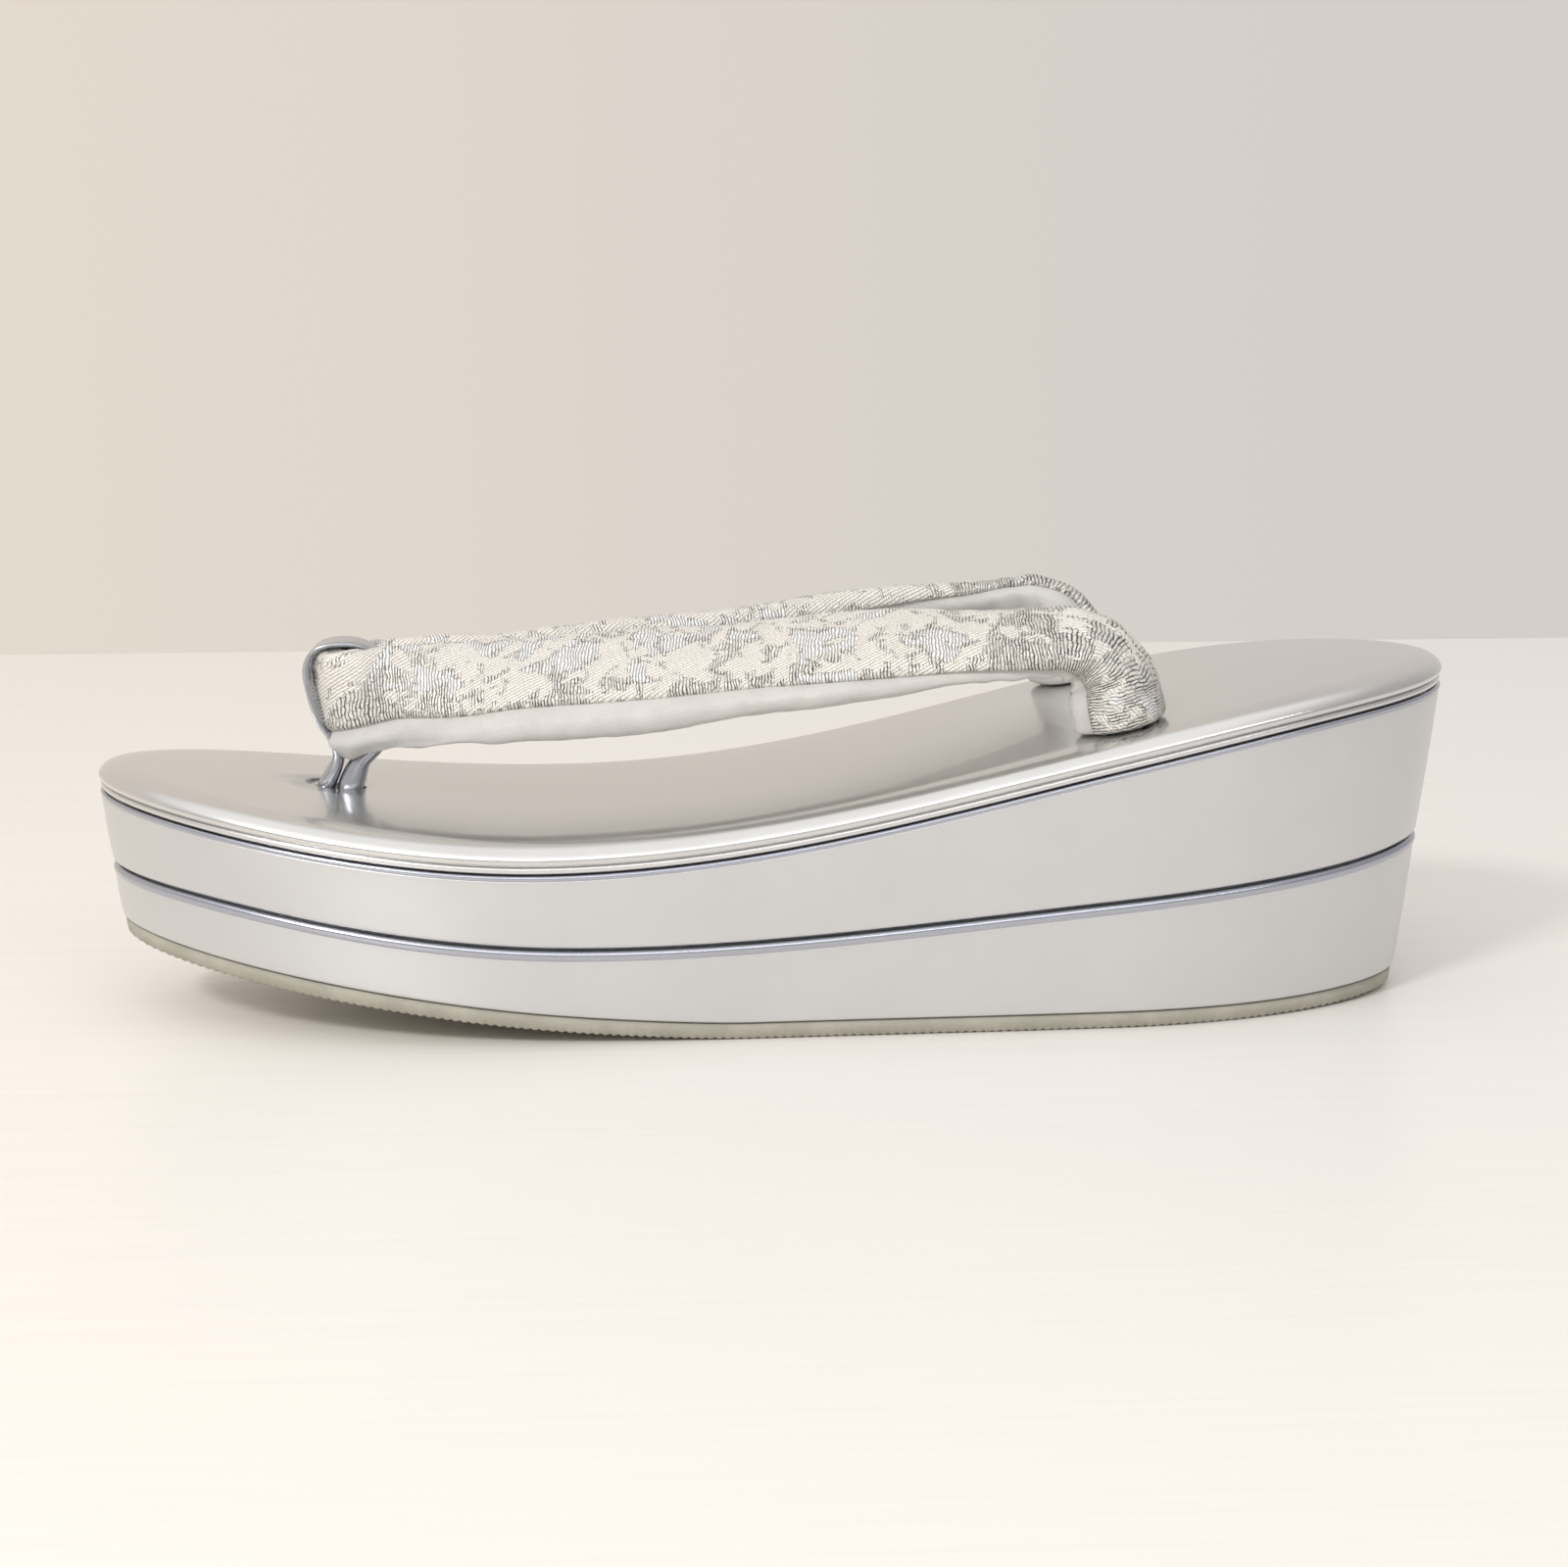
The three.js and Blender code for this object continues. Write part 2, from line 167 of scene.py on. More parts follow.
def spline(keys, values):
    """Curve through the values with an even bend, held at both ends."""
    gaps = np.diff(keys)
    values = np.asarray(values, float)
    wide = gaps if values.ndim == 1 else gaps[:, None]
    slopes = np.diff(values, axis=0) / wide
    count = len(keys)
    system = np.eye(count)
    right = np.zeros_like(values)
    right[0] = slopes[0]
    right[-1] = slopes[-1]
    for i in range(1, count - 1):
        system[i, i - 1:i + 2] = gaps[i], 2 * (gaps[i - 1] + gaps[i]), gaps[i - 1]
        right[i] = 3 * (gaps[i] * slopes[i - 1] + gaps[i - 1] * slopes[i])
    tangents = np.linalg.solve(system, right)

    def read(at):
        at = min(max(at, keys[0]), keys[-1])
        i = min(max(bisect(keys, at) - 1, 0), count - 2)
        t = (at - keys[i]) / gaps[i]
        bend_in = tangents[i] * gaps[i] - (values[i + 1] - values[i])
        bend_out = (values[i + 1] - values[i]) - tangents[i + 1] * gaps[i]
        straight = values[i] + (values[i + 1] - values[i]) * t
        return straight + t * (1 - t) * (bend_in * (1 - t) + bend_out * t)

    return read


def clamp(value, low=0.0, high=1.0):
    return min(max(value, low), high)


def smooth(t):
    t = clamp(t)
    return t * t * (3 - 2 * t)


half_before_rounding = spline(PROFILE[:, 0], PROFILE[:, 1])
seam_height = spline(PROFILE[:, 0], PROFILE[:, 2])
tier_height = spline(PROFILE[:, 0], PROFILE[:, 3])


def ground_height(d):
    toe = clamp((FLAT_FROM - d) / FLAT_FROM)
    heel = clamp((d - FLAT_TO) / (LENGTH - FLAT_TO))
    return TOE_SPRING * toe ** 1.5 + HEEL_LIFT * heel ** 2


def raised(height_at, by):
    return lambda d: height_at(d) + by


def round_end(t):
    return math.sqrt(1 - (1 - clamp(t)) ** 2)


def signed_power(value, power):
    """The size of the value to a power, with the value's own sign."""
    return math.copysign(abs(value) ** power, value)


def outline_point(angle):
    d = LENGTH / 2 * (1 - math.cos(angle))
    side = 1 if math.sin(angle) < 0 else -1
    half = half_before_rounding(d) * round_end(d / TOE_ROUND) * round_end((LENGTH - d) / HEEL_ROUND)
    return Vector((d, side * half))


SMALL_TURN = 0.01


def outline_edge(angle):
    """Point of the sole's outline, its outward normal and the taper of the wall there."""
    ahead = outline_point(angle + SMALL_TURN) - outline_point(angle - SMALL_TURN)
    normal = Vector((ahead.y, -ahead.x)).normalized()
    taper = SIDE_TAPER + (END_TAPER - SIDE_TAPER) * normal.x ** 2
    return outline_point(angle), normal, taper


OUTLINE_STEPS = 400
OUTLINE = [outline_edge(2 * math.pi * i / OUTLINE_STEPS) for i in range(OUTLINE_STEPS)]


def place(d, y, z):
    return Vector((d - LENGTH / 2, y, z)) * MM


def inset_point(edge, height_at, inset):
    point, normal, taper = edge
    drop = max(seam_height(point.x) - height_at(point.x), 0)
    return point - normal * (taper * drop + inset)


def sole_ring(height_at, inset=0.0, scale=1.0, crown=0.0):
    """One ring of the sole, drawn towards the spine line by a scale."""
    ring = []
    for edge in OUTLINE:
        moved = inset_point(edge, height_at, inset)
        spine = clamp(moved.x, SPINE_FROM, SPINE_TO)
        d = spine + (moved.x - spine) * scale
        ring.append(place(d, moved.y * scale, height_at(d) + crown))
    return ring


def extruded(form, loop):
    """Extrudes a loop of edges once and gives its new vertices and the new loop."""
    grown = bmesh.ops.extrude_edge_only(form, edges=loop)["geom"]
    row = [g for g in grown if isinstance(g, bmesh.types.BMVert)]
    fresh = set(row)
    return row, [g for g in grown if isinstance(g, bmesh.types.BMEdge) and set(g.verts) <= fresh]


def skin(rings, close_ends=False):
    """A circle of vertices extruded from ring to ring. Each vertex keeps its turn and its step."""
    form = bmesh.new()
    turn = form.verts.layers.int.new("turn")
    step = form.verts.layers.int.new("step")
    bmesh.ops.create_circle(form, segments=len(rings[0]), radius=1)
    row = form.verts[:]
    loop = form.edges[:]
    for i, vertex in enumerate(row):
        vertex[turn] = i
    first = loop
    for number, ring in enumerate(rings):
        if number:
            row, loop = extruded(form, loop)
        for vertex in row:
            vertex[step] = number
            vertex.co = ring[vertex[turn]]
    if close_ends:
        bmesh.ops.contextual_create(form, geom=first)
        bmesh.ops.contextual_create(form, geom=loop)
    return form


DOUBLES = 0.002 * MM


def closed(form):
    """The form with its doubles merged and its faces turned outwards."""
    bmesh.ops.remove_doubles(form, verts=form.verts, dist=DOUBLES)
    bmesh.ops.recalc_face_normals(form, faces=form.faces)
    return form


def new_object(name, form, *finishes):
    """Object at the origin that takes over the form as its mesh."""
    mesh = bpy.data.meshes.new(name)
    form.to_mesh(mesh)
    form.free()
    for finish in finishes:
        mesh.materials.append(finish)
    made = bpy.data.objects.new(name, mesh)
    scene.collection.objects.link(made)
    return made


def piece(name, form, node, finish):
    """Makes the form a piece that stands for a CAD node and rides with it."""
    made = new_object(name, form, finish)
    made.data.shade_smooth()
    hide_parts(node)
    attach(made, "root")
    return made


# Shading
class Signal:
    """A shader socket that Python's operators work on."""

    def __init__(self, graph, socket):
        self.graph = graph
        self.socket = socket

    def math(self, operation, *others):
        sockets = dict(enumerate((self, *others)))
        return self.graph.node("ShaderNodeMath", {"operation": operation}, sockets)

    def flipped(self, operation, other):
        return self.graph.node("ShaderNodeMath", {"operation": operation}, {0: other, 1: self})

    def __add__(self, other):
        return self.math("ADD", other)

    def __sub__(self, other):
        return self.math("SUBTRACT", other)

    def __mul__(self, other):
        return self.math("MULTIPLY", other)

    def __truediv__(self, other):
        return self.math("DIVIDE", other)

    def __pow__(self, other):
        return self.math("POWER", other)

    def __gt__(self, other):
        return self.math("GREATER_THAN", other)

    def __lt__(self, other):
        return self.math("LESS_THAN", other)

    def __radd__(self, other):
        return self.flipped("ADD", other)

    def __rsub__(self, other):
        return self.flipped("SUBTRACT", other)

    def __rmul__(self, other):
        return self.flipped("MULTIPLY", other)

    def floor(self):
        return self.math("FLOOR")

    def fraction(self):
        return self.math("FRACT")

    def size(self):
        return self.math("ABSOLUTE")

    def larger(self, other):
        return self.math("MAXIMUM", other)

    def smaller(self, other):
        return self.math("MINIMUM", other)

    def step_up(self, low, high):
        """Rises smoothly from 0 at low to 1 at high."""
        return self.graph.node(
            "ShaderNodeMapRange",
            {"interpolation_type": "SMOOTHSTEP"},
            {"Value": self, "From Min": low, "From Max": high},
        )


class Graph:
    """The node tree of a material or of the world."""

    def __init__(self, tree):
        self.tree = tree

    def node(self, kind, settings=None, sockets=None, out=0):
        """Adds a node, sets it, fills or links its sockets and gives one of its outputs."""
        made = self.tree.nodes.new(kind)
        for name, value in (settings or {}).items():
            setattr(made, name, value)
        for name, value in (sockets or {}).items():
            if isinstance(value, Signal):
                self.tree.links.new(value.socket, made.inputs[name])
            else:
                made.inputs[name].default_value = value
        return Signal(self, made.outputs[out])

    def mix(self, share, first, second):
        first, second = ((*c, 1) if isinstance(c, tuple) else c for c in (first, second))
        return self.node("ShaderNodeMix", {"data_type": "RGBA"}, {0: share, 6: first, 7: second}, 2)

    def vector(self, x=0.0, y=0.0, z=0.0):
        return self.node("ShaderNodeCombineXYZ", None, {0: x, 1: y, 2: z})

    def parts(self, vector):
        split = self.node("ShaderNodeSeparateXYZ", None, {0: vector}).socket.node
        return [Signal(self, part) for part in split.outputs]

    def scaled(self, vector, by):
        by = by if isinstance(by, tuple) else (by, by, by)
        return self.node("ShaderNodeVectorMath", {"operation": "MULTIPLY"}, {0: vector, 1: by})

    def noise(self, vector, scale, detail=2.0, roughness=0.5, distortion=0.0):
        return self.node("ShaderNodeTexNoise", None, {
            "Vector": vector, "Scale": scale, "Detail": detail,
            "Roughness": roughness, "Distortion": distortion,
        })

    def bump(self, height, distance, strength=1.0):
        sockets = {"Height": height, "Distance": distance, "Strength": strength}
        return self.node("ShaderNodeBump", None, sockets)


class Finish(Graph):
    """A material whose shader is set from signals and numbers."""

    def __init__(self, name):
        self.material = bpy.data.materials.new(name)
        self.material.use_nodes = True
        super().__init__(self.material.node_tree)
        self.shader = self.tree.nodes["Principled BSDF"]
        self.spot = self.scaled(self.node("ShaderNodeTexCoord", out="Object"), 1 / MM)

    def set(self, **values):
        """Sets the shader's sockets by name, with _ for a space, and gives the material."""
        for name, value in values.items():
            socket = self.shader.inputs[name.replace("_", " ")]
            if isinstance(value, Signal):
                self.tree.links.new(value.socket, socket)
            elif isinstance(value, tuple):
                socket.default_value = (*value, 1)
            else:
                socket.default_value = value
        return self.material


def silver_leatherette(name, tone, roughness, grain=1.0, coat=0.2, coat_roughness=0.12):
    """Satin silver leatherette: fine pebbled grain, soft swell, slightly uneven sheen."""
    f = Finish(name)
    pebble = f.node("ShaderNodeTexVoronoi", {"feature": "F1"}, {"Vector": f.spot, "Scale": 2.6})
    fine = f.noise(f.spot, 5.0, 3)
    swell = f.noise(f.spot, 0.09, 2)
    blotch = f.noise(f.spot, 0.05, 3, 0.6)
    height = pebble * 0.5 + fine * 0.6 + swell * 2
    darker = tuple(c * 0.965 for c in tone)
    return f.set(
        Base_Color=f.mix(blotch.step_up(0.3, 0.7), darker, tone),
        Metallic=0.9,
        Roughness=roughness + (fine - 0.5) * 0.08 + (blotch - 0.5) * 0.06,
        Coat_Weight=coat,
        Coat_Roughness=coat_roughness,
        Normal=f.bump(height, 0.012 * MM * grain),
    )


def outsole_rubber():
    f = Finish("outsole_rubber")
    speck = f.noise(f.spot, 3.0, 4, 0.7)
    cloud = f.noise(f.spot, 0.15, 3)
    tone = f.mix(cloud.step_up(0.35, 0.65), (0.37, 0.35, 0.29), (0.435, 0.41, 0.345))
    tone = f.mix(speck.step_up(0.45, 0.75) * 0.4, tone, (0.275, 0.265, 0.215))
    return f.set(Base_Color=tone, Roughness=0.7 + (speck - 0.5) * 0.2, Normal=f.bump(speck, 0.06 * MM))


def velvet():
    """White velvet: short nap that turns a little from place to place."""
    f = Finish("velvet")
    nap = f.noise(f.spot, 4.5, 4, 0.75)
    brushed = f.noise(f.spot, 0.22, 2, 0.5)
    tone = f.mix(brushed.step_up(0.25, 0.75), (0.67, 0.65, 0.625), (0.755, 0.735, 0.71))
    tone = f.mix(nap.step_up(0.42, 0.72) * 0.6, tone, (0.55, 0.53, 0.51))
    return f.set(
        Base_Color=tone,
        Roughness=0.9,
        Sheen_Weight=0.5,
        Sheen_Roughness=0.4,
        Normal=f.bump(nap + brushed * 0.5, 0.32 * MM, 0.85),
    )


# Brocade: widths of yarns, rows and wales, lengths of stitches and flecks, sideways wander of the yarns
YARN = 0.55
ROW = 0.45
WALE = 0.6
STITCH = 0.95
FLECK_LENGTH = 1.55
WOBBLE = 1.5
# Leaves: level of their edge, middle and half width of the band of floats round it
LEAF_EDGE = 0.6
RIM_MIDDLE = 0.585
RIM_HALF = 0.016
# Vines: cells per millimetre with one coil in each, space between a coil's turns, half a vine's share of it
SCROLL = 0.075
COIL_PITCH = 5.2
VINE_SHARE = 0.085
# Twill: how fast the wales follow one another along and across the strap
TWILL_ALONG = 0.47
TWILL_ACROSS = 0.88
# Ways from the nose where the floats thin out, and where they close up again towards the foot
NOSE_BUSY = (14, 34)
FOOT_BUSY = (104, 128)


def brocade():
    """Cream twill with leaves, vines and flecks in silver floats that run across the strap."""
    f = Finish("brocade")
    weave = f.node("ShaderNodeUVMap", {"uv_map": "weave"})
    along, across, _ = f.parts(f.scaled(weave, 1 / MM))
    flat = f.vector(along, across)

    def dice(cell):
        return f.node("ShaderNodeTexWhiteNoise", {"noise_dimensions": "1D"}, {"W": cell})

    def hump(share):
        return 1 - (share * 2 - 1) ** 2

    # Crumpled padding lets the yarns wander sideways
    uneven = f.noise(flat, 0.9, 2)
    wandering = along + (f.noise(flat, 0.3, 3, 0.6) - 0.5) * WOBBLE
    yarn = wandering / YARN
    column = yarn.floor()
    in_yarn = yarn.fraction()
    jitter = dice(column)
    row = (across / ROW + jitter * 3).floor()
    spot = f.vector((column + 0.5) * YARN, (row - jitter * 3) * ROW)

    # Leaves are whole patches of floats; a vine coils round scattered middles
    leaf_field = f.noise(spot, 0.1, 1.5, 0.5, 1.1)
    leaf = leaf_field > LEAF_EDGE
    leaf_rim = (leaf_field - RIM_MIDDLE).size() < RIM_HALF
    scroll_spot = f.scaled(spot, SCROLL)
    middle = f.node(
        "ShaderNodeTexVoronoi",
        {"voronoi_dimensions": "2D", "feature": "F1"},
        {"Vector": scroll_spot, "Scale": 1.0, "Randomness": 0.8},
        "Position",
    )
    away = f.node("ShaderNodeVectorMath", {"operation": "SUBTRACT"}, {0: scroll_spot, 1: middle})
    away_x, away_y, _ = f.parts(away)
    reach = f.node("ShaderNodeVectorMath", {"operation": "LENGTH"}, {0: away}, "Value") / SCROLL
    bearing = away_y.math("ARCTAN2", away_x) / (2 * math.pi)
    wander = f.noise(spot, 0.2, 2)
    coil = (reach / COIL_PITCH + bearing + wander * 1.6).fraction()
    broken = f.noise(spot, 0.3, 1) > 0.5
    vine = ((coil - 0.5).size() < VINE_SHARE) * broken
    low = 1 - (across * 0.13).smaller(1)
    from_nose = along.size()
    near_foot = from_nose.step_up(*FOOT_BUSY)
    busy = near_foot * 0.16 + (1 - from_nose.step_up(*NOSE_BUSY)) * 0.05
    cluster = f.noise(spot, 0.2, 2, 0.6, 0.8) > (0.63 - low * 0.13 - busy)
    floats = leaf.larger(vine).larger(cluster).larger(leaf_rim)
    pearl = leaf * (1 - leaf_rim) * (1 - cluster)

    # Each fleck is one float, tied down at its end; in some flecks the shade between the yarns is painted
    # near black
    fleck = across / FLECK_LENGTH + jitter * 2.3
    chance = f.node(
        "ShaderNodeTexWhiteNoise",
        {"noise_dimensions": "2D"},
        {"Vector": f.vector(column, fleck.floor())},
    )
    # Painted shade: more flecks are near black towards the strap's lower edge, which is less lit
    deep_shade = chance < (0.5 + low * 0.2)
    tied = fleck.fraction() < 0.17

    # Twill: slanting wales of short stitches, each wale shifted by a share of its own
    ridge = hump(in_yarn)
    slant = (wandering * TWILL_ALONG + across * TWILL_ACROSS) / WALE + (in_yarn - 0.5) * 0.3
    wale_ridge = hump(slant.fraction())
    shift = dice(slant.floor())
    stitch = ((wandering * TWILL_ACROSS - across * TWILL_ALONG) / STITCH + shift).fraction()
    stitch_ridge = (stitch * 5).smaller(1).smaller((1 - stitch) * 5)
    ground = wale_ridge * 0.4 + wale_ridge * stitch_ridge * 0.6

    # Painted shade: the twill's grooves between the wales are coloured darker than its cream ridges,
    # unevenly at random
    painted_groove_shade = f.mix(uneven.step_up(0.35, 0.65), (0.42, 0.39, 0.345), (0.58, 0.55, 0.495))
    cream = f.mix(ground.step_up(0.05, 0.6), painted_groove_shade, (0.83, 0.795, 0.74))
    # Painted shade: the floats are coloured darker at each yarn's sides and where tied down, shading
    # between the yarns
    painted_gap_shade = f.mix(deep_shade, (0.42, 0.395, 0.36), (0.075, 0.066, 0.055))
    painted_gap_shade = f.mix(pearl, painted_gap_shade, (0.46, 0.46, 0.45))
    thread = f.mix(pearl, (0.80, 0.78, 0.74), (0.93, 0.93, 0.93))
    # Threads darker at random, less so in the leaves, and darker towards the foot
    thread_darkening = uneven.step_up(0.45, 0.7) * (0.5 - pearl * 0.4) + near_foot * 0.25
    thread = f.mix(thread_darkening, thread, (0.42, 0.41, 0.39))
    held = 1 - tied * 0.5
    silver = f.mix(ridge.step_up(0.3, 0.85) * held, painted_gap_shade, thread)
    height = floats * (ridge * 1.2 * held + 0.3) + (1 - floats) * ground
    return f.set(
        Base_Color=f.mix(floats, cream, silver),
        Metallic=floats * 0.2,
        Roughness=0.62 - floats * 0.22,
        Normal=f.bump(height, 0.17 * MM),
    )


# Sole
def arc(height, inset, radius, start, end, steps):
    """Rows of (height, inset) along an arc; 0 degrees points outwards and 90 up."""
    rows = []
    for i in range(steps + 1):
        turn = math.radians(start + (end - start) * i / steps)
        rows.append((height + radius * math.sin(turn), inset - radius * math.cos(turn)))
    return rows


CAP_SCALES = (0, 0.3, 0.55, 0.75, 0.9, 0.97)


def sole_body(bottom_at, bottom_inset, wall_rings, top_at, top_inset, crown=0.0):
    """Closed layer of the sole from its bottom cap to its top cap."""
    rings = [sole_ring(bottom_at, bottom_inset, s) for s in (*CAP_SCALES, 1)]
    rings += wall_rings
    rings += [sole_ring(top_at, top_inset, s, crown * (1 - s * s)) for s in (1, *reversed(CAP_SCALES))]
    return closed(skin(rings))


BEVEL = 0.55
SHOULDER_BEVEL = 0.2
BEVEL_STEPS = 5
WALL_BULGE = 0.12
WALL_STEPS = 10
# Rolled bead under each seam: radius, drop and inset of its middle, drop of the shoulder below it
LOWER_BEAD = (1.15, 1.5, 0.92, 2.0)
UPPER_BEAD = (0.6, 0.72, 0.5, 1.05)


def tier_form(bottom_at, top_at, bead):
    """Wrapped wedge: a barely swelling wall, with a step at its top that holds the bead."""
    shoulder = raised(top_at, -bead[3])
    low = raised(bottom_at, HALF_GAP + BEVEL)
    high = raised(shoulder, -SHOULDER_BEVEL)
    foot = arc(HALF_GAP + BEVEL, BEVEL, BEVEL, -90, 0, BEVEL_STEPS)
    rings = [sole_ring(raised(bottom_at, height), inset) for height, inset in foot]
    for i in range(1, WALL_STEPS):
        share = i / WALL_STEPS
        rings.append(sole_ring(
            lambda d: low(d) * (1 - share) + high(d) * share,
            -WALL_BULGE * 4 * share * (1 - share),
        ))
    brow = arc(-SHOULDER_BEVEL, SHOULDER_BEVEL, SHOULDER_BEVEL, 0, 90, BEVEL_STEPS)
    rings += [sole_ring(raised(shoulder, height), inset) for height, inset in brow]
    rings.append(sole_ring(shoulder, STEP_DEPTH))
    return sole_body(raised(bottom_at, HALF_GAP), BEVEL, rings, raised(top_at, -HALF_GAP), STEP_DEPTH)


BEAD_SIDES = 20


def bead_form(top_at, bead):
    """Rolled bead: a round section carried round the sole."""
    radius, drop, inset = bead[:3]
    rows = arc(-drop, inset, radius, 0, 360, BEAD_SIDES)
    return closed(skin([sole_ring(raised(top_at, height), at) for height, at in rows]))


# Edge of the footbed: rows of (lift above the seam, inset), with the crease of the wrap above a strip
STRIP = [
    (0.15, 0.9), (0.17, 0.6), (0.28, 0.3), (0.5, 0.17),
    (0.85, 0.13), (1.08, 0.19), (1.24, 0.4), (1.33, 1.0),
]
ROUND = [
    (1.4, 1.0), (1.45, 0.42), (1.72, 0.06), (2.3, -0.22), (3.1, 0.06),
    (3.9, 0.75), (4.6, 1.9), (5.1, 3.6), (5.33, 5.2), (5.4, 6.8),
]
ROUND_STEPS = 26
CROWN = 0.35


def footbed_form():
    """Padded board: a flat strip at its edge, a crease, then the round that leads to its crowned top."""
    rings = [sole_ring(raised(seam_height, lift), inset) for lift, inset in STRIP]
    curve = spline(list(range(len(ROUND))), ROUND)
    for i in range(ROUND_STEPS):
        lift, inset = curve(i * (len(ROUND) - 1) / ROUND_STEPS)
        rings.append(sole_ring(raised(seam_height, lift), inset))
    bottom_lift, bottom_inset = STRIP[0]
    top_lift, top_inset = ROUND[-1]
    bottom_at, top_at = raised(seam_height, bottom_lift), raised(seam_height, top_lift)
    return sole_body(bottom_at, bottom_inset, rings, top_at, top_inset, CROWN)


RIB_PITCH = 1.5
RIB_DEPTH = 0.4
RIB_STEPS = 6
RIB_SHARPNESS = 0.7
OUTSOLE_COLUMNS = 6
OUTSOLE_SAMPLES = 4000
UNDER_INSET = 0.75
# Edge of the outsole: rows of (lift above the ground line, inset)
OUTSOLE_WALL = ((0.45, 0.4), (1.6, 0.35), (OUTSOLE_THICKNESS - HALF_GAP, 0.4))


def rib_height(d):
    return RIB_DEPTH * (1 - abs(math.sin(math.pi * d / RIB_PITCH)) ** RIB_SHARPNESS)


def outsole_form():
    """Rubber sheet whose underside has fine ribs across it."""
    top_lift, top_inset = OUTSOLE_WALL[-1]
    angles = np.linspace(0, math.pi, OUTSOLE_SAMPLES)
    edge_d = [inset_point(outline_edge(a), ground_height, UNDER_INSET).x for a in angles]
    lines = round((edge_d[-1] - edge_d[0]) / RIB_PITCH * RIB_STEPS)
    line_angles = np.interp(np.linspace(edge_d[0], edge_d[-1], lines + 1), edge_d, angles)

    form = bmesh.new()
    angle_of = form.verts.layers.float.new("angle")

    def sheet(height_at, inset, lift_at):
        grid = bmesh.ops.create_grid(form, x_segments=lines, y_segments=OUTSOLE_COLUMNS, size=0.5)
        for vertex in grid["verts"]:
            line = round((vertex.co.x + 0.5) * lines)
            share = vertex.co.y * 2
            edge = outline_edge(line_angles[line])
            moved = inset_point(edge, height_at, inset)
            half = abs(moved.y) if 0 < line < lines else 0
            vertex[angle_of] = -math.copysign(line_angles[line], share)
            vertex.co = place(moved.x, half * share, height_at(moved.x) + lift_at(moved.x))

    sheet(ground_height, UNDER_INSET, rib_height)
    bmesh.ops.remove_doubles(form, verts=form.verts, dist=DOUBLES)
    loop = [e for e in form.edges if e.is_boundary]
    for lift, inset in OUTSOLE_WALL:
        row, loop = extruded(form, loop)
        height_at = raised(ground_height, lift)
        for vertex in row:
            edge = outline_edge(vertex[angle_of])
            moved = inset_point(edge, height_at, inset)
            vertex.co = place(moved.x, moved.y, height_at(moved.x))
    sheet(raised(ground_height, top_lift), top_inset, lambda d: 0)
    return closed(form)


# Strap
NOSE_STEPS = 5
NOSE_HEADING = 6
SIDE_STEPS = 14
BEND_STEPS = 6
BEND_SPREAD = 0.6


def strap_rows():
    """Rows of the strap's middle line from the fold at the nose to the end of the rear bend."""
    rows = []
    first = STRAP[0]
    for i in range(NOSE_STEPS):
        share = i / NOSE_STEPS
        turn = math.pi / 2 * share
        blend = [a + (b - a) * share * share for a, b in zip(NOSE, first)]
        rows.append((NOSE[0] + NOSE_RADIUS * (1 - math.cos(turn)), NOSE_RADIUS * math.sin(turn),
                     *blend[2:], 90 * (1 - share), 0))
    read = spline(STRAP[:, 0], STRAP[:, 1:])
    end = STRAP[-1]
    for i in range(SIDE_STEPS + 1):
        d = first[0] + (end[0] - first[0]) * i / SIDE_STEPS
        slope = read(d + 0.5) - read(d - 0.5)
        heading = NOSE_HEADING if i == 0 else math.degrees(math.atan(slope[0]))
        dip = 0 if i == SIDE_STEPS else math.degrees(-math.atan(slope[1]))
        rows.append((d, *read(d), heading, dip))
    for i in range(1, BEND_STEPS + 1):
        share = i / BEND_STEPS
        dip = math.radians(BEND_DIP * share)
        rows.append((end[0] + BEND_RADIUS * math.sin(dip), end[1] + BEND_SPREAD * share,
                     end[2] - BEND_RADIUS * (1 - math.cos(dip)), end[3] + (FOOT_WIDTH - end[3]) * share,
                     end[4] + (FOOT_THICK - end[4]) * share, end[5], 0, BEND_DIP * share))
    return rows


def frame_row(row):
    """Middle point, width axis, thickness axis, width, thickness and seam turn of a row, in one list."""
    d, y, z, width, thick, lean, heading, dip = row
    lean, heading, dip = (math.radians(a) for a in (lean, heading, dip))
    upright = Vector((math.cos(heading) * math.sin(dip), math.sin(heading) * math.sin(dip), math.cos(dip)))
    inward = Vector((math.sin(heading), -math.cos(heading), 0))
    width_axis = upright * math.cos(lean) + inward * math.sin(lean)
    thick_axis = upright * math.sin(lean) - inward * math.cos(lean)
    seam_turn = np.interp(d, SEAM_TURN[:, 0], SEAM_TURN[:, 1])
    return [d, y, z, *width_axis, *thick_axis, width, thick, seam_turn]


MIRROR = np.array([1, -1, 1, 1, -1, 1, 1, -1, 1, 1, 1, 1])


def strap_path():
    """The strap's rows as one even curve over its length, 0 at the nose, and its half length."""
    far = np.array([frame_row(row) for row in strap_rows()])
    near = far[:0:-1] * MIRROR
    rows = np.vstack([near, far])
    steps = np.linalg.norm(np.diff(rows[:, :3], axis=0), axis=1)
    keys = np.concatenate([[0], np.cumsum(steps)])
    half = keys[-1] / 2
    return spline(list(keys - half), rows), half


STRAP_AT, BEND_END = strap_path()
BEND_ROW = STRAP_AT(BEND_END)
FOOT_DIP = math.radians(BEND_DIP)


def below_bend(way):
    """Distance and height of the middle line at a way straight down from the end of the bend."""
    return BEND_ROW[0] + math.cos(FOOT_DIP) * way, BEND_ROW[2] - math.sin(FOOT_DIP) * way


REACH_STEP = 0.01


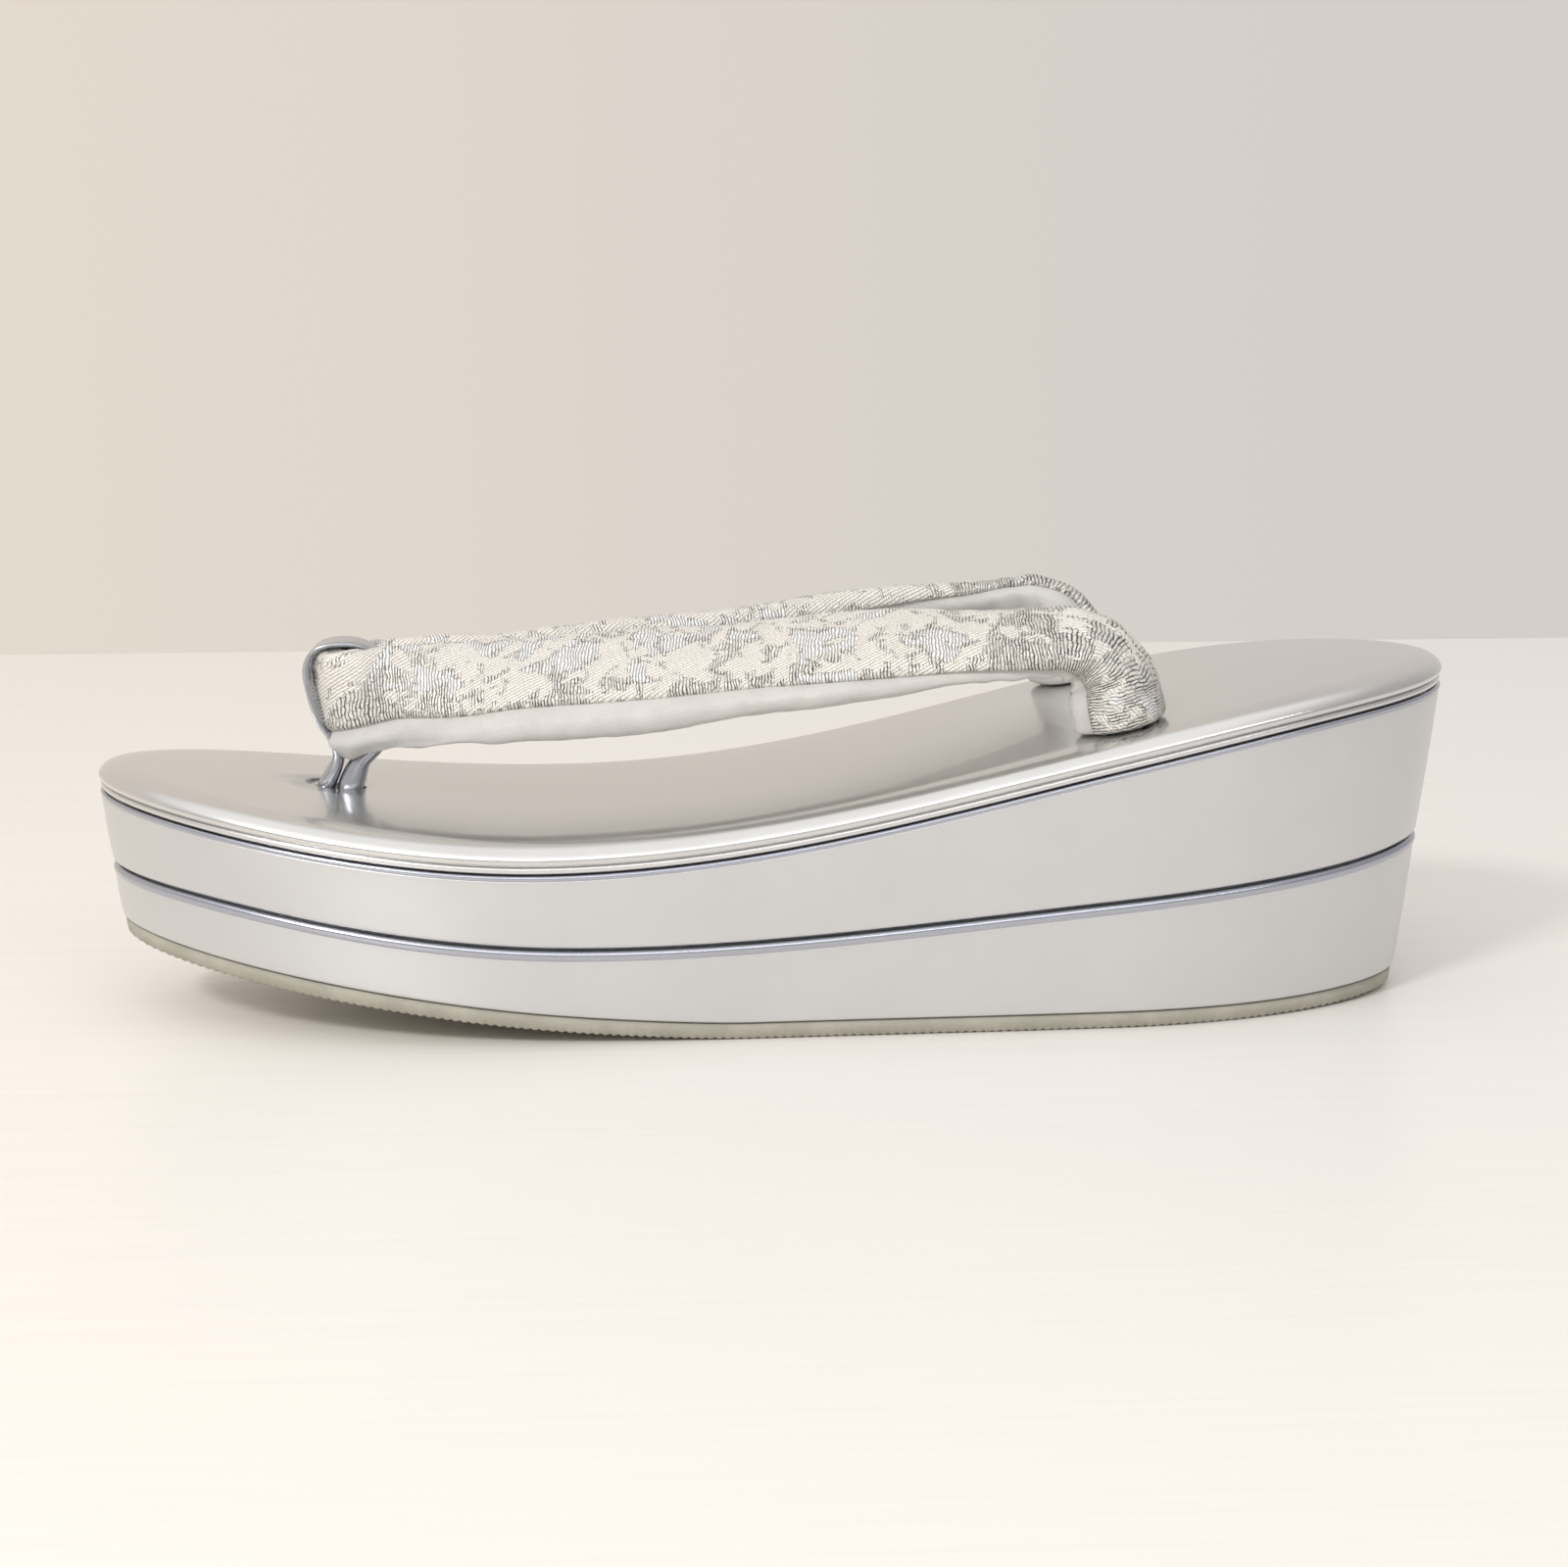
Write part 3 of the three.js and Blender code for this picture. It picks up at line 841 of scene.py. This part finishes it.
def foot_reach():
    """Way from the end of the bend to the footbed."""
    reach = 0
    d, z = below_bend(reach)
    while z > seam_height(d) + FOOTBED_THICKNESS:
        reach += REACH_STEP
        d, z = below_bend(reach)
    return reach


FOOT_REACH = foot_reach()
# Foot of the strap: height above the footbed, share of the full size
FOOT_ROWS = (
    (2.2, 1), (1.5, 0.985), (1.0, 0.955), (0.65, 0.9),
    (0.42, 0.82), (0.34, 0.7), (0.34, 0.56), (-3.6, 0.55),
)
STATIONS = 170
DOWN_STEPS = 5


def stations():
    """Rows of the whole strap from one foot to the other, as (way, row, share of size)."""
    ways = [BEND_END * i / STATIONS for i in range(STATIONS + 1)]
    half = [(way, STRAP_AT(way), 1.0) for way in ways]
    span = FOOT_REACH - FOOT_ROWS[0][0]
    downs = [(span * i / DOWN_STEPS, 1.0) for i in range(1, DOWN_STEPS)]
    downs += [(FOOT_REACH - above, share) for above, share in FOOT_ROWS]
    for down, share in downs:
        row = BEND_ROW.copy()
        row[0], row[2] = below_bend(down)
        half.append((BEND_END + down, row, share))
    mirrored = [(-way, row * MIRROR, share) for way, row, share in half[:0:-1]]
    return mirrored + half


# Power of the section's rounds along the strap and at the nose, and how far from the nose that fades
POWER = 2.3
NOSE_POWER = 3.8
NOSE_FADE = 16


def section_point(way, row, share, turn, grow):
    """Point of the section at a turn, moved outwards by grow: a pillow, boxier at the folded nose."""
    power = POWER + (NOSE_POWER - POWER) * smooth(1 - abs(way) / NOSE_FADE)
    u = signed_power(math.cos(turn), 2 / power)
    v = signed_power(math.sin(turn), 2 / power)
    half_width, half_thick = row[9] * share / 2, row[10] * share / 2
    slope_u = signed_power(u, power - 1) / half_width
    slope_v = signed_power(v, power - 1) / half_thick
    out = Vector((slope_u, slope_v)).normalized()
    reach_u, reach_v = u * half_width + out.x * grow, v * half_thick + out.y * grow
    spot = row[:3] + row[3:6] * reach_u + row[6:9] * reach_v
    return place(*spot)


# Heights of the puckers: slow swell, lumps, gathers outside and inside the bend, gathers at the nose
SWELL = 0.42
LUMPS = 0.18
BEND_GATHERS = (0.18, 0.5)
NOSE_GATHERS = 0.16
FOOT_SWELL = 0.5
# Where they lie: middle of the bend's gathers before the bend's end, and their reach to each side of it;
# way at which the nose's gathers start to fade, and how far they fade; start and length of the foot's swell
BEND_MIDDLE = 10
BEND_REACH = 20
NOSE_FULL = 6
NOSE_REACH = 14
FOOT_START = 4
FOOT_RISE = 10


def puckers(way, turn, row):
    """Swell of the padded cloth: slow undulation, gathers at the rear bend and at the nose."""
    side = math.copysign(1, way)
    soft = noise.noise(Vector((way * 0.11, math.cos(turn) * 0.8, math.sin(turn) * 0.8 + side * 3)))
    lumpy = noise.noise(Vector((way * 0.3, math.cos(turn) * 2.2, math.sin(turn) * 2.2 + side * 7)))
    swell = SWELL * soft + LUMPS * lumpy
    to_bend = clamp(1 - abs(abs(way) - BEND_END + BEND_MIDDLE) / BEND_REACH)
    inner = 0.5 - 0.5 * math.sin(turn)
    fan = math.sin(abs(way) * 1.15 + 1.4 * math.cos(turn) + 3 * soft)
    swell += to_bend * (BEND_GATHERS[0] + BEND_GATHERS[1] * inner) * fan
    to_nose = clamp(1 - (abs(way) - NOSE_FULL) / NOSE_REACH)
    swell += NOSE_GATHERS * to_nose * math.sin(abs(way) * 1.3 + 2.2 * turn + 2 * soft)
    from_seam = abs(math.sin(turn - math.radians(row[11])))
    to_foot = smooth((abs(way) - BEND_END + FOOT_START) / FOOT_RISE)
    return swell * (0.35 + 0.65 * from_seam) + FOOT_SWELL * to_foot


# Points of the cover's section outside and inside, width of its rolled edge, thickness, lift of its face
BROCADE_OUT = 60
BROCADE_IN = 24
EDGE_ROLL = 1.1
CLOTH = 0.9
COVER_LIFT = 0.25


def brocade_form(rows):
    """The brocade cover: a thick sheet round the outer and upper half of the strap."""
    rings = []
    uvs = []
    for way, row, share in rows:
        lower = math.radians(row[11])
        turns = [lower - math.pi * i / (BROCADE_OUT - 1) for i in range(BROCADE_OUT)]
        flat = [section_point(way, row, share, t, 0) for t in turns]
        steps = [(b - a).length / MM for a, b in zip(flat, flat[1:])]
        reach = np.concatenate([[0], np.cumsum(steps)])
        ring = []
        for turn, at in zip(turns, reach):
            roll = -CLOTH * 0.75 * (1 - round_end(min(at, reach[-1] - at) / EDGE_ROLL))
            grow = (COVER_LIFT + puckers(way, turn, row)) * share + roll
            ring.append(section_point(way, row, share, turn, grow))
        for i in range(BROCADE_IN):
            turn = lower - math.pi * (BROCADE_IN - 1 - i) / (BROCADE_IN - 1)
            ring.append(section_point(way, row, share, turn, -CLOTH + puckers(way, turn, row) * share))
        rings.append(ring)
        back = [reach[-1] * (BROCADE_IN - 1 - i) / (BROCADE_IN - 1) for i in range(BROCADE_IN)]
        uvs.append([(way * MM, at * MM) for at in (*reach, *back)])
    form = skin(rings, close_ends=True)
    turn_of, step_of = form.verts.layers.int["turn"], form.verts.layers.int["step"]
    weave = form.loops.layers.uv.new("weave")
    for face in form.faces:
        for corner in face.loops:
            corner[weave].uv = uvs[corner.vert[step_of]][corner.vert[turn_of]]
    bmesh.ops.recalc_face_normals(form, faces=form.faces)
    return form


VELVET_SIDES = 72
# Depth of the velvet at the seam and how far it swells past that, and its room under the cover
SEAM_DEPTH = 0.75
VELVET_SWELL = 1.3
COVER_ROOM = 0.15
# Share of the bare velvet over which it swells, how much of that goes at the nose and how far it fades
TUCK = 0.5
NOSE_TUCK = 0.35
TUCK_FADE = 14
# Turns past the seam between which the cover hides the velvet
COVERED = (190, 350)
# Rise of the velvet's lower edge by way from the nose
LOW_EDGE = np.array([(0, 0.9), (7, 1.2), (13, 1.9), (22, 1.9), (34, 0.7), (45, 0), (200, 0)])


def velvet_form(rows):
    """The padded velvet body: full below, and drawn in under the brocade."""
    rings = []
    for way, row, share in rows:
        lift = np.interp(abs(way), LOW_EDGE[:, 0], LOW_EDGE[:, 1])
        tuck = TUCK - NOSE_TUCK * smooth(1 - abs(way) / TUCK_FADE)
        ring = []
        for i in range(VELVET_SIDES):
            turn = 360 * i / VELVET_SIDES
            angle = math.radians(turn)
            past = (turn - row[11]) % 360
            bare = math.sin(math.radians(past)) if past < 180 else 0
            grow = -SEAM_DEPTH + VELVET_SWELL * smooth(bare / tuck)
            if COVERED[0] < past < COVERED[1]:
                grow = -CLOTH - COVER_ROOM
            grow -= lift * smooth((-math.cos(angle) - 0.4) / 0.5)
            ring.append(section_point(way, row, share, angle, (grow + puckers(way, angle, row)) * share))
        rings.append(ring)
    return closed(skin(rings, close_ends=True))


THONG_STEPS = 8
THONG_SIDES = 28
THONG_POWER = 2.6
# Share of the bow taken off all round, so that the band bows about its own middle
BOW_MIDDLE = 0.3
SMALL_STEP = 0.01


def thong_form():
    """Silver band looped over the nose of the strap, with both legs in the front hole."""
    read = spline(list(range(len(THONG))), THONG)
    count = THONG_STEPS * (len(THONG) - 1)
    rings = []
    for i in range(count + 1):
        t = i / THONG_STEPS
        d, z, across, thick, bow = read(t)
        ahead = read(t + SMALL_STEP) - read(t - SMALL_STEP)
        outward = Vector((-ahead[1], 0, ahead[0])).normalized()
        ring = []
        for k in range(THONG_SIDES):
            turn = 2 * math.pi * k / THONG_SIDES
            u = signed_power(math.cos(turn), 2 / THONG_POWER) * across / 2
            v = signed_power(math.sin(turn), 2 / THONG_POWER) * thick / 2
            bent = v + bow * ((2 * u / across) ** 2 - BOW_MIDDLE)
            ring.append(place(d, 0, z) + (Vector((0, 1, 0)) * u + outward * bent) * MM)
        rings.append(ring)
    return closed(skin(rings, close_ends=True))


HOLE_SIDES = 48
# Growth of a hole at the footbed's face, and on the way there: rows of (height above the face, growth)
RIM_GROWTH = 0.9
RIM_FLARE = ((-9, 0), (-1.6, 0), (-0.8, 0.12), (-0.3, 0.45), (0, RIM_GROWTH), (0.25, 1.7), (3, 1.7))
STRAP_HOLE_ROOM = 0.5


def hole_cutter(centre, axis, along, across):
    """Flared column that opens a hole with a rounded rim in the footbed."""
    side = Vector((0, 1, 0))
    forward = side.cross(axis).normalized()
    rings = []
    for depth, flare in RIM_FLARE:
        ring = []
        for i in range(HOLE_SIDES):
            turn = 2 * math.pi * i / HOLE_SIDES
            ring.append(centre + (axis * depth + forward * math.cos(turn) * (along + flare)
                                  + side * math.sin(turn) * (across + flare)) * MM)
        rings.append(ring)
    return new_object("cutter", closed(skin(rings, close_ends=True)))


def cut_holes(footbed, cutters):
    """Cuts each hole with a Boolean modifier and keeps the result, without its slivers, as the mesh."""
    for cutter in cutters:
        modifier = footbed.modifiers.new("hole", "BOOLEAN")
        modifier.object = cutter
        modifier.solver = "EXACT"
    graph = bpy.context.evaluated_depsgraph_get()
    cut = bpy.data.meshes.new_from_object(footbed.evaluated_get(graph))
    footbed.modifiers.clear()
    form = bmesh.new()
    form.from_mesh(cut)
    bmesh.ops.dissolve_degenerate(form, edges=form.edges, dist=DOUBLES)
    closed(form).to_mesh(cut)
    form.free()
    footbed.data = cut
    for cutter in cutters:
        bpy.data.objects.remove(cutter)


def strap_hole(side):
    """Middle of a strap hole at the footbed's face, and the line that its foot comes down."""
    d, z = below_bend(FOOT_REACH)
    return place(d, side * BEND_ROW[1], z), Vector((-math.cos(FOOT_DIP), 0, math.sin(FOOT_DIP)))


def build():
    silver = silver_leatherette("tier_leatherette", tone=(0.67, 0.675, 0.68), roughness=0.36)
    # Painted shade: the piping is the tiers' silver, coloured darker and bluer for the shade and darker
    # floor its underside mirrors
    bead = silver_leatherette("piping_leatherette", tone=(0.46, 0.475, 0.54), roughness=0.2, grain=0.6)
    top = silver_leatherette(
        "footbed_leatherette", tone=(0.71, 0.705, 0.70), roughness=0.22, grain=0.8,
        coat=0.5, coat_roughness=0.05,
    )
    # Painted shade: the thong is the same silver, coloured darker and bluer for the dark surroundings that
    # it mirrors
    band = silver_leatherette("thong_leatherette", tone=(0.47, 0.49, 0.525), roughness=0.22, grain=1.2)

    piece("outsole_sheet", outsole_form(), "outsole", outsole_rubber())
    piece("lower_tier_wrap", tier_form(raised(ground_height, OUTSOLE_THICKNESS), tier_height, LOWER_BEAD),
          "lower_tier", silver)
    piece("lower_bead", bead_form(tier_height, LOWER_BEAD), "lower_piping", bead)
    piece("upper_tier_wrap", tier_form(tier_height, seam_height, UPPER_BEAD),
          "upper_tier", silver)
    piece("upper_bead", bead_form(seam_height, UPPER_BEAD), "upper_piping", bead)

    footbed = piece("footbed_pad", footbed_form(), "footbed", top)
    hole_d, hole_along, hole_across = THONG_HOLE
    front = place(hole_d, 0, seam_height(hole_d) + FOOTBED_THICKNESS + CROWN)
    upright = Vector((0, 0, 1))
    cutters = [hole_cutter(front, upright, hole_along - RIM_GROWTH, hole_across - RIM_GROWTH)]
    strap_hole_radius = NECK / 2 + STRAP_HOLE_ROOM
    for side in (1, -1):
        spot, axis = strap_hole(side)
        cutters.append(hole_cutter(spot, axis, strap_hole_radius, strap_hole_radius))
    cut_holes(footbed, cutters)

    rows = stations()
    cover = piece("strap_brocade", brocade_form(rows), "hanao", brocade())
    body = piece("strap_velvet", velvet_form(rows), "hanao", velvet())
    piece("thong_band", thong_form(), "front_thong", band)


build()


# Stage and light, in metres
FLOOR_LEFT = -2.0
FLOOR_RIGHT = 1.2
FLOOR_NEAR = -2.2
FLOOR_FAR = 0.44
FLOOR_TURN = -0.024


def add_floor():
    """Pale floor with faint streaks. Its far edge is the line behind the sandal, turned a little."""
    f = Finish("floor")
    x, y, _ = f.parts(f.spot)
    streak = f.noise(f.vector(x * 0.004, y * 0.55), 1.0, 3)
    # Painted light: the floor is coloured warmer and a little brighter towards the left, where the warm
    # light comes from
    painted_warm_light = (x * -0.001 + 0.5).step_up(0, 1)
    tone = f.mix(painted_warm_light, (0.82, 0.80, 0.78), (0.87, 0.825, 0.765))
    f.set(
        Base_Color=f.mix(streak.step_up(0.35, 0.7) * 0.12, tone, (0.70, 0.68, 0.66)),
        Roughness=0.34 + (streak - 0.5) * 0.2,
        Normal=f.bump(streak, 0.05 * MM),
    )
    form = bmesh.new()
    bmesh.ops.create_grid(form, x_segments=1, y_segments=1, size=0.5)
    for vertex in form.verts:
        x_share, y_share = vertex.co.x + 0.5, vertex.co.y + 0.5
        x = FLOOR_LEFT + (FLOOR_RIGHT - FLOOR_LEFT) * x_share
        y = FLOOR_NEAR + (FLOOR_FAR - FLOOR_NEAR + FLOOR_TURN * x) * y_share
        vertex.co = Vector((x, y, 0))
    floor = new_object("floor", form, f.material)


def add_room():
    """Light from all round: pale walls, a bright ceiling to the front, a dim low front and right side."""
    world = bpy.data.worlds.new("room")
    world.use_nodes = True
    scene.world = world
    g = Graph(world.node_tree)
    x, y, z = g.parts(g.node("ShaderNodeTexCoord", out="Generated"))
    wall = g.mix((x * 1.6 + 0.5).step_up(0, 1), (0.78, 0.705, 0.62), (0.66, 0.62, 0.59))
    lit = (z * 0.8 - y * 0.55).step_up(0.15, 0.75)
    tone = g.mix(lit, wall, (0.58, 0.573, 0.57))
    low_front = (0.35 - z).step_up(0, 0.3) * (y * -1).step_up(0.1, 0.5)
    tone = g.mix(low_front * 0.8, tone, (0.42, 0.415, 0.41))
    ceiling = (z * 0.9 - y * 0.42).step_up(0.5, 0.8)
    tone = g.mix(ceiling, tone, (1.1, 1.085, 1.07))
    shaded = (x * 0.95 - y * 0.3).step_up(0.2, 0.85)
    tone = g.mix(shaded * 0.8, tone, (0.42, 0.42, 0.425))
    background = world.node_tree.nodes["Background"]
    world.node_tree.links.new(tone.socket, background.inputs["Color"])
    background.inputs["Strength"].default_value = 1.0


def add_lamp(name, spot, size, power, tint):
    """Soft box that faces the origin."""
    light = bpy.data.lights.new(name, "AREA")
    light.shape = "RECTANGLE"
    light.size, light.size_y = size
    light.energy = power
    light.color = tint
    lamp = bpy.data.objects.new(name, light)
    lamp.location = spot
    lamp.rotation_euler = (-Vector(spot)).to_track_quat("-Z", "Y").to_euler()
    scene.collection.objects.link(lamp)


add_floor()
add_room()
add_lamp("front_lamp", spot=(-0.72, -1.0, 0.95), size=(0.24, 0.2), power=9, tint=(1.0, 0.985, 0.965))
add_lamp("front_strip", spot=(0.1, -1.25, 0.95), size=(2.4, 0.14), power=5, tint=(0.97, 0.985, 1.0))
scene.view_settings.view_transform = "Standard"
